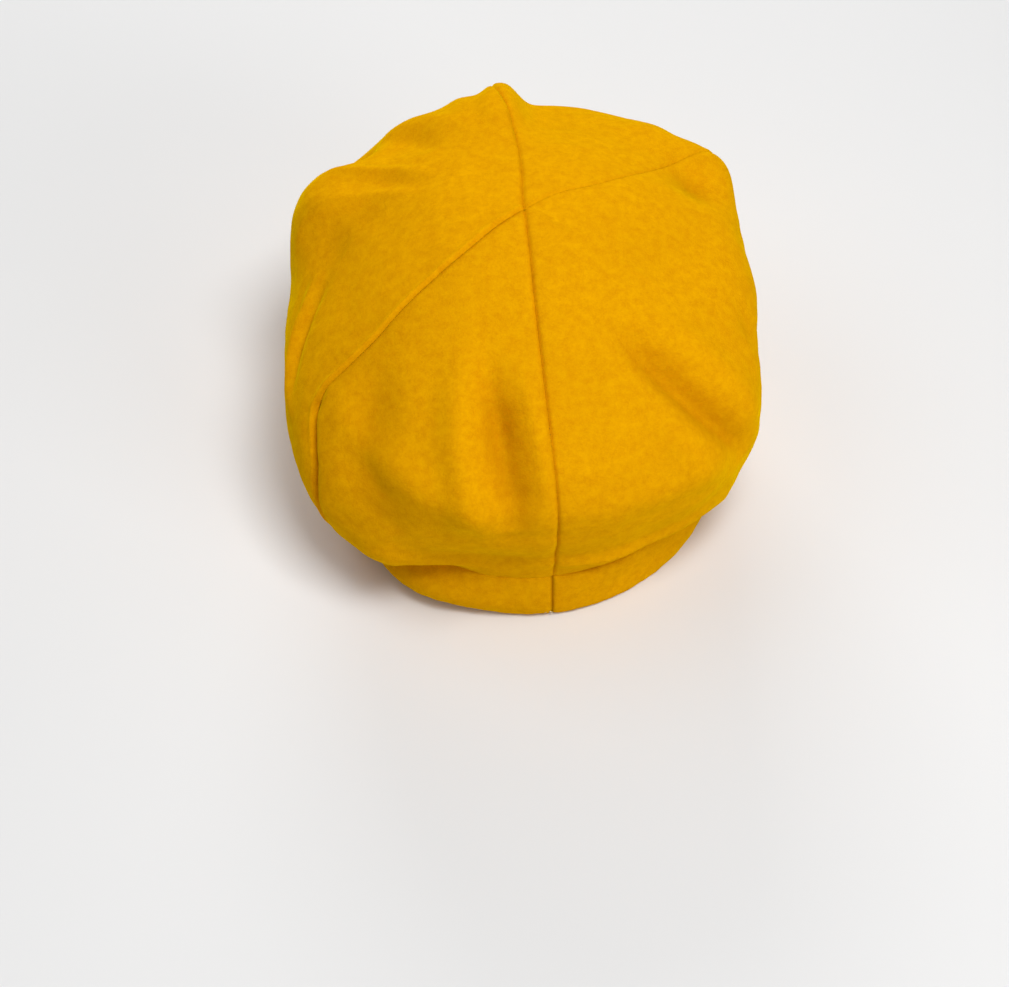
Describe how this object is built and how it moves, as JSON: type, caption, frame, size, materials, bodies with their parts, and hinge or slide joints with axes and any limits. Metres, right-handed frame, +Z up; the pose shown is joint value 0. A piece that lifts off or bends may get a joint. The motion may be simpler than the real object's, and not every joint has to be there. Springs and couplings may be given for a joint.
{
  "type": "beret",
  "caption": "Soft sewn wool beret with a gored crown slouching over a narrow band, satin lining and ribbon sweatband.",
  "frame": {"origin": "centre of the oval head opening, in the plane of the band's lower edge", "axes": "+Z up out of the crown, -Y the way the wearer faces, +X to the wearer's left"},
  "size_m": [0.2104, 0.2334, 0.145],
  "materials": {
    "wool_cloth": "brushed wool, matte with a soft nap",
    "wool_thread": "matte twisted thread",
    "pale_thread": "matte twisted thread",
    "satin_lining": "soft satin sheen",
    "ribbon": "ribbed grosgrain, low sheen",
    "stiffener": "matte non-woven"
  },
  "bodies": {
    "root": {"crown_panel_back_left": "wool_cloth", "crown_panel_back_right": "wool_cloth", "crown_panel_front_right": "wool_cloth", "crown_panel_front_left": "wool_cloth", "outer_band": "wool_cloth", "lining_panel_back_left": "satin_lining", "lining_panel_back_right": "satin_lining", "lining_panel_front_right": "satin_lining", "lining_panel_front_left": "satin_lining", "crown_seam_thread_back": "wool_thread", "crown_seam_thread_front": "wool_thread", "crown_seam_thread_left": "wool_thread", "crown_seam_thread_right": "wool_thread", "band_seam_thread": "wool_thread", "centre_tack": "wool_thread", "lining_seam_thread_back": "wool_thread", "lining_seam_thread_front": "wool_thread", "lining_seam_thread_left": "wool_thread", "lining_seam_thread_right": "wool_thread", "sweatband_thread": "wool_thread", "back_seam_tack": "pale_thread", "sweatband": "ribbon", "band_interlining": "stiffener"}
  },
  "joints": []
}
